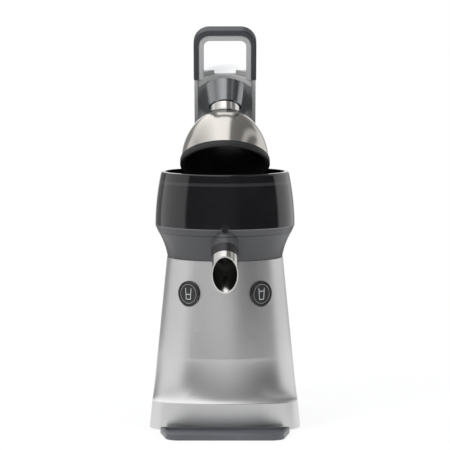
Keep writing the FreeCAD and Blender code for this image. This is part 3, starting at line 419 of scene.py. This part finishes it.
studio = {
    "camera": (0.0, -2.6, 0.455), "down": 4.89, "lens": 177.8, "sensor": 36.0,
    "floorTone": 0.93, "floorGlow": 0.86, "floorHalf": 0.62,
    "fadeFrom": 0.22, "fadeTo": 0.6,  # the floor turns plain white between these distances, in metres
    "low": [(-180, 1.0), (-166, 1.0), (-160, 0.12), (-104, 0.12), (-82, 0.3), (-60, 1.9), (12, 1.9),
            (26, 0.08), (60, 0.1), (72, 1.0), (104, 0.5), (118, 0.12), (160, 0.12), (166, 1.0), (180, 1.0)],
    "mid": [(-180, 1.0), (-166, 1.0), (-160, 0.3), (-134, 0.3), (-129, 0.9), (-71, 0.95), (-66, 0.18),
            (12, 0.18), (26, 0.12), (96, 0.12), (101, 0.95), (150, 0.9), (158, 0.3), (160, 0.3), (166, 1.0),
            (180, 1.0)],
    "roof": [(0.0, 0.3), (0.1, 0.8), (0.22, 1.1), (0.34, 1.45), (0.565, 1.4), (0.6, 0.25), (0.79, 0.2),
             (0.83, 0.6), (0.86, 0.6), (0.89, 0.2), (1.0, 0.2)],  # low and mid go by degrees round, roof by x
    "ground": 0.8, "brightest": 2.0,
    "groundToLow": (-0.6, -0.45), "lowToMid": (-0.15, -0.08), "midToRoof": (0.32, 0.5),  # by a ray's z
    "sky": (0.9, 0.95, 1.0, 1), "skyStrength": 0.55,
}
lamps = {
    "leftBox": {"place": (-1.6, -1.5, 1.4), "aim": (0, 0, 0.25), "size": (1.2, 1.6), "power": 34.0},
    "rightBox": {"place": (1.7, -1.0, 1.2), "aim": (0, 0, 0.25), "size": (0.9, 1.4), "power": 16.0},
    "topBox": {"place": (0.0, 0.2, 2.2), "aim": (0, 0, 0.2), "size": (1.4, 1.4), "power": 18.0},
}


def makeFloor():
    mesh = bmesh.new()
    bmesh.ops.create_grid(mesh, x_segments=1, y_segments=1, size=studio["floorHalf"])
    data = bpy.data.meshes.new("floor")
    mesh.to_mesh(data)
    mesh.free()
    floor = bpy.data.objects.new("floor", data)
    bpy.context.scene.collection.objects.link(floor)
    made, sheet = newSheet("floorWhite")
    seen = sheet.backdropRays()
    tone = studio["floorTone"]
    matt = sheet.add("ShaderNodeBsdfDiffuse", {}, {"Color": (tone, tone, tone, 1)})
    glow = sheet.add("ShaderNodeEmission", {}, {"Color": (1, 1, 1, 1), "Strength": 1.0})
    here = sheet.add("ShaderNodeTexCoord", out="Object")
    far = sheet.add("ShaderNodeVectorMath", {"operation": "LENGTH"}, {0: here}, out="Value")
    plain = far.step(studio["fadeFrom"], studio["fadeTo"]) * (1 - studio["floorGlow"]) + studio["floorGlow"]
    both = sheet.add("ShaderNodeMixShader", {}, {0: seen * plain, 1: matt, 2: glow})
    sheet.add("ShaderNodeOutputMaterial", {}, {0: both})
    data.materials.append(made)


def makeWorld():
    world = bpy.data.worlds.new("studio")
    bpy.context.scene.world = world
    world.use_nodes = True
    sheet = Sheet(world.node_tree)
    way = sheet.add("ShaderNodeTexCoord", out="Generated")
    x = sheet.add("ShaderNodeSeparateXYZ", {}, {0: way}, out=0)
    y = sheet.add("ShaderNodeSeparateXYZ", {}, {0: way}, out=1)
    z = sheet.add("ShaderNodeSeparateXYZ", {}, {0: way}, out=2)
    top = studio["brightest"]
    turn = x.maths("ARCTAN2", x, y * -1.0) / (2 * math.pi) + 0.5

    def room(stops, along):
        return sheet.add("ShaderNodeValToRGB", {"stops": [(a, (v / top,) * 3) for a, v in stops]}, {0: along})

    low, mid = [room([(a / 360 + 0.5, v) for a, v in studio[key]], turn) for key in ("low", "mid")]
    roof = room(studio["roof"], x * 0.5 + 0.5)
    ground = (studio["ground"] / top,) * 3 + (1,)
    walls = sheet.blend(z.step(*studio["lowToMid"]), low, mid)
    shine = sheet.blend(z.step(*studio["groundToLow"]), ground, walls)
    shine = sheet.blend(z.step(*studio["midToRoof"]), shine, roof)
    soft = sheet.add("ShaderNodeBackground", {}, {"Color": studio["sky"], "Strength": studio["skyStrength"]})
    bands = sheet.add("ShaderNodeBackground", {}, {"Color": shine, "Strength": top})
    white = sheet.add("ShaderNodeBackground", {}, {"Color": (1, 1, 1, 1), "Strength": 1.0})
    backdrop = sheet.add("ShaderNodeMixShader", {}, {0: sheet.ray("Glossy"), 1: white, 2: bands})
    seen = sheet.add("ShaderNodeMixShader", {}, {0: sheet.backdropRays(), 1: soft, 2: backdrop})
    sheet.add("ShaderNodeOutputWorld", {}, {0: seen})


def makeLamp(name, place, aim, size, power):
    data = bpy.data.lights.new(name, "AREA")
    data.shape = "RECTANGLE"
    data.size, data.size_y = size
    data.energy = power
    lamp = bpy.data.objects.new(name, data)
    bpy.context.scene.collection.objects.link(lamp)
    lamp.location = place
    lamp.rotation_euler = (Vector(aim) - Vector(place)).to_track_quat("-Z", "Y").to_euler()
    lamp.visible_glossy = False


def makeCamera():
    data = bpy.data.cameras.new("camera")
    data.lens = studio["lens"]
    data.sensor_width = studio["sensor"]
    camera = bpy.data.objects.new("camera", data)
    bpy.context.scene.collection.objects.link(camera)
    camera.location = studio["camera"]
    camera.rotation_euler = (math.radians(90 - studio["down"]), 0, 0)
    bpy.context.scene.camera = camera


makeFloor()
makeWorld()
for name, lamp in lamps.items():
    makeLamp(name, **lamp)
makeCamera()
bpy.context.scene.view_settings.view_transform = "Standard"
print("stage set")
